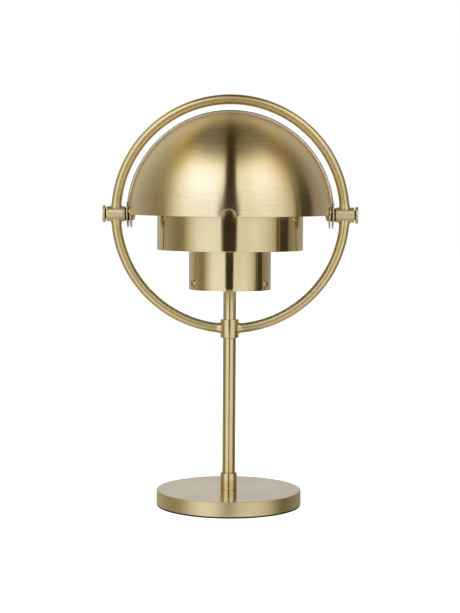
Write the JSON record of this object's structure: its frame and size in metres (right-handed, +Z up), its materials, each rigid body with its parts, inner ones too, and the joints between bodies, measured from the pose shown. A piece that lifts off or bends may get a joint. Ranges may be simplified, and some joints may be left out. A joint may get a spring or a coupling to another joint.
{
  "type": "dome shade table lamp",
  "caption": "Brass table lamp on a round foot, with a hoop that carries a dome shade in two turning halves over two open cylinders.",
  "frame": {"origin": "centre of the underside of the foot pad, on the stem's axis", "axes": "+Z up along the stem; the pivot line runs along X; the front of the lamp is towards -Y and the cord inlet towards +Y"},
  "size_m": [0.3096, 0.2511, 0.5003],
  "materials": {
    "brass": "satin, brushed round the vertical axis",
    "dome_brass": "brushed outside, white lacquer inside",
    "cylinder_brass": "brushed outside, white lacquer inside",
    "hoop_brass": "satin",
    "fastener_brass": "turned, satin",
    "pad_rubber": "matt",
    "washer_black": "matt",
    "zinc_steel": "zinc plated",
    "weight_iron": "as cast",
    "gland_black": "moulded",
    "holder_black": "moulded",
    "white_plastic": "moulded",
    "white_ceramic": "glazed ceramic",
    "bulb_metal": "rolled thread",
    "opal_glass": "opal",
    "lead_sheath": "sheathed lead"
  },
  "bodies": {
    "stand": {"foot_pad": "pad_rubber", "bottom_plate": "zinc_steel", "bottom_plate_screws": "zinc_steel", "base_weight": "weight_iron", "base_shell": "brass", "cord_gland": "gland_black", "terminal_block": "white_plastic", "stem_nut": "zinc_steel", "stem_washer": "zinc_steel", "foot_nipple": "zinc_steel", "foot_collar": "brass", "stem_tube": "brass", "hoop_collar": "brass", "collar_grub_screws": "zinc_steel", "hoop_top": "hoop_brass", "hoop_lower_left": "hoop_brass", "hoop_lower_right": "hoop_brass", "pivot_boss_left": "fastener_brass", "pivot_boss_right": "fastener_brass", "pivot_bolt_left": "fastener_brass", "pivot_bolt_right": "fastener_brass", "cap_spacers": "washer_black", "boss_washers": "washer_black", "shade_washers": "washer_black", "pivot_nuts": "fastener_brass", "lower_spider": "zinc_steel", "top_nipple": "zinc_steel", "spider_nut": "zinc_steel", "small_cylinder": "cylinder_brass", "small_cylinder_screws": "fastener_brass", "mid_spider": "zinc_steel", "large_cylinder": "cylinder_brass", "large_cylinder_screws": "fastener_brass", "lamp_holder": "holder_black", "holder_insert": "white_ceramic", "holder_contact": "fastener_brass", "holder_thread": "bulb_metal", "bulb_cap": "bulb_metal", "bulb_globe": "opal_glass", "inner_lead": "lead_sheath"},
    "front_half": {"front_shade": "dome_brass", "front_ear_left": "fastener_brass", "front_ear_right": "fastener_brass", "front_ear_rivets": "fastener_brass"},
    "rear_half": {"rear_shade": "dome_brass", "rear_ear_left": "fastener_brass", "rear_ear_right": "fastener_brass", "rear_ear_rivets": "fastener_brass"}
  },
  "joints": [
    {"name": "front_half_tilt", "type": "hinge", "parent": "stand", "child": "front_half", "pos_m": [0, 0, 0.3555], "axis": [1, 0, 0], "range_deg": [-172, 89]},
    {"name": "rear_half_tilt", "type": "hinge", "parent": "stand", "child": "rear_half", "pos_m": [0, 0, 0.3555], "axis": [1, 0, 0], "range_deg": [-90, 172]}
  ]
}
